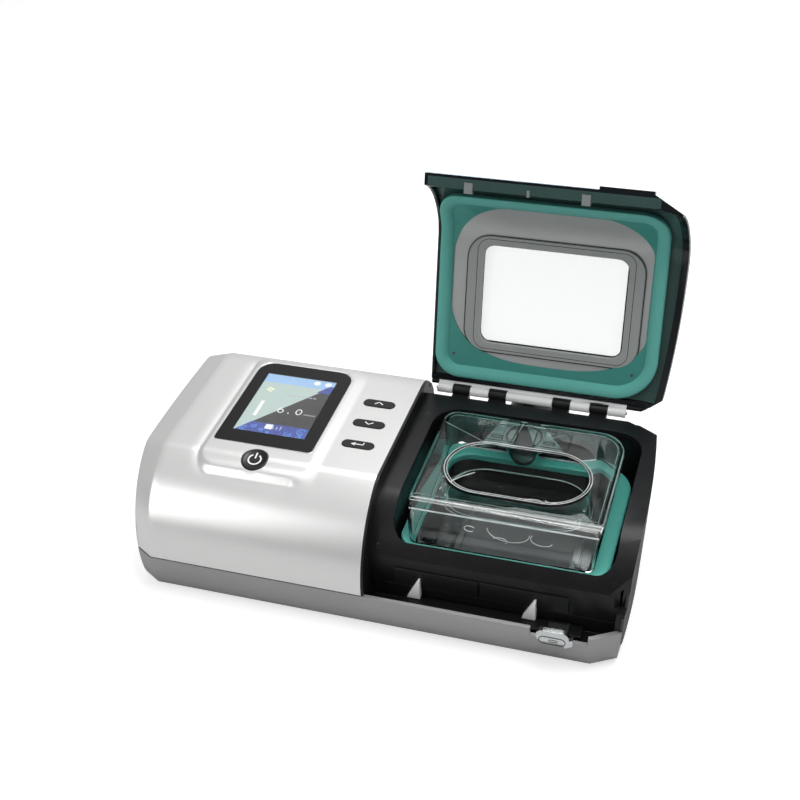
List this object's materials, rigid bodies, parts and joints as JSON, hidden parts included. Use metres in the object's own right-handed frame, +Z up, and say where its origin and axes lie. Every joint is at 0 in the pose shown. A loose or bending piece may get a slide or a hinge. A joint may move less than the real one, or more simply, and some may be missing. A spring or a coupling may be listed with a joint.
{
  "type": "positive airway pressure machine",
  "caption": "Bedside breathing machine: blower half with a colour display and keys, humidifier half with a lift-out water tank under a hinged, windowed lid and a sliding latch.",
  "frame": {"origin": "middle of the tray's flat underside; the rubber feet reach 2 mm below it", "axes": "+X along the machine towards the humidifier end, +Y to the back with the hose outlet, +Z up"},
  "size_m": [0.3031, 0.1862, 0.2262],
  "materials": {
    "pearl_shell": "pearl gloss",
    "silver_tray": "satin silver",
    "end_panel_grey": "fine grain",
    "black_deck": "satin black",
    "black_gloss": "high gloss",
    "smoked_liner": "smoked gloss",
    "teal_silicone": "soft satin",
    "grey_inner_plate": "gloss",
    "window_frame_grey": "gloss",
    "clear_plastic": "clear",
    "chrome": "polished",
    "white_hook": "satin",
    "rubber_foot": "matte",
    "steel": "turned",
    "aluminium_plate": "satin",
    "circuit_board": "solder mask",
    "lcd_screen": "lit screen",
    "key_black": "satin",
    "duct_grey": "moulded",
    "impeller_white": "moulded",
    "filter_foam": "felted"
  },
  "bodies": {
    "base": {"base_tray": "silver_tray", "foot_front_left": "rubber_foot", "foot_front_right": "rubber_foot", "foot_back_right": "rubber_foot", "foot_back_left": "rubber_foot", "top_shell": "pearl_shell", "end_panel_left": "end_panel_grey", "end_panel_right": "end_panel_grey", "display_glass": "black_gloss", "lcd_module": "lcd_screen", "control_board": "circuit_board", "blower_housing": "duct_grey", "blower_motor": "steel", "air_duct": "duct_grey", "air_outlet": "black_deck", "filter_cover": "black_deck", "filter_tray": "black_deck", "air_filter": "filter_foam", "power_socket": "black_deck", "main_board": "circuit_board", "humidifier_housing": "black_deck", "bay_tub": "black_deck", "heater_plate": "aluminium_plate", "heating_element": "duct_grey", "hinge_pin": "steel", "latch_guide": "black_deck"},
    "lid": {"lid_shell": "black_gloss", "lid_liner": "smoked_liner", "lid_inner_plate": "grey_inner_plate", "lid_gasket": "teal_silicone", "window_frame": "window_frame_grey", "lid_window": "clear_plastic", "lid_tooth_left": "smoked_liner", "lid_tooth_right": "smoked_liner", "lid_hinge_leaf": "clear_plastic"},
    "tank": {"tank_cover": "clear_plastic", "tank_baffle": "clear_plastic", "tank_seal": "teal_silicone", "tank_lower": "clear_plastic", "tank_base_plate": "aluminium_plate"},
    "latch": {"latch_bar": "black_deck", "hook_left": "white_hook", "hook_right": "white_hook", "latch_knob": "chrome"},
    "power_button": {"power_button": "key_black"},
    "up_button": {"up_button": "key_black"},
    "down_button": {"down_button": "key_black"},
    "enter_button": {"enter_button": "key_black"},
    "fan": {"impeller": "impeller_white"}
  },
  "joints": [
    {"name": "lid_hinge", "type": "hinge", "parent": "base", "child": "lid", "pos_m": [0.067, 0.0682, 0.0733], "axis": [1, 0, 0], "range_deg": [0, 105.5]},
    {"name": "tank_lift", "type": "slide", "parent": "base", "child": "tank", "axis": [0, 0, -1], "range_m": [-0.09, 0]},
    {"name": "latch_slide", "type": "slide", "parent": "base", "child": "latch", "axis": [1, 0, 0], "range_m": [0, 0.006], "stiffness_N_per_m": 150, "springref_m": -0.002},
    {"name": "power_button_press", "type": "slide", "parent": "base", "child": "power_button", "axis": [0, 0, -1], "range_m": [0, 0.0008], "stiffness_N_per_m": 800, "springref_m": -0.0006},
    {"name": "up_button_press", "type": "slide", "parent": "base", "child": "up_button", "axis": [0, 0, -1], "range_m": [0, 0.0008], "stiffness_N_per_m": 800, "springref_m": -0.0006},
    {"name": "down_button_press", "type": "slide", "parent": "base", "child": "down_button", "axis": [0, 0, -1], "range_m": [0, 0.0008], "stiffness_N_per_m": 800, "springref_m": -0.0006},
    {"name": "enter_button_press", "type": "slide", "parent": "base", "child": "enter_button", "axis": [0, 0, -1], "range_m": [0, 0.0008], "stiffness_N_per_m": 800, "springref_m": -0.0006},
    {"name": "fan_spin", "type": "hinge", "parent": "base", "child": "fan", "pos_m": [-0.088, 0.008, 0.03], "axis": [0, 0, 1], "continuous": true}
  ]
}
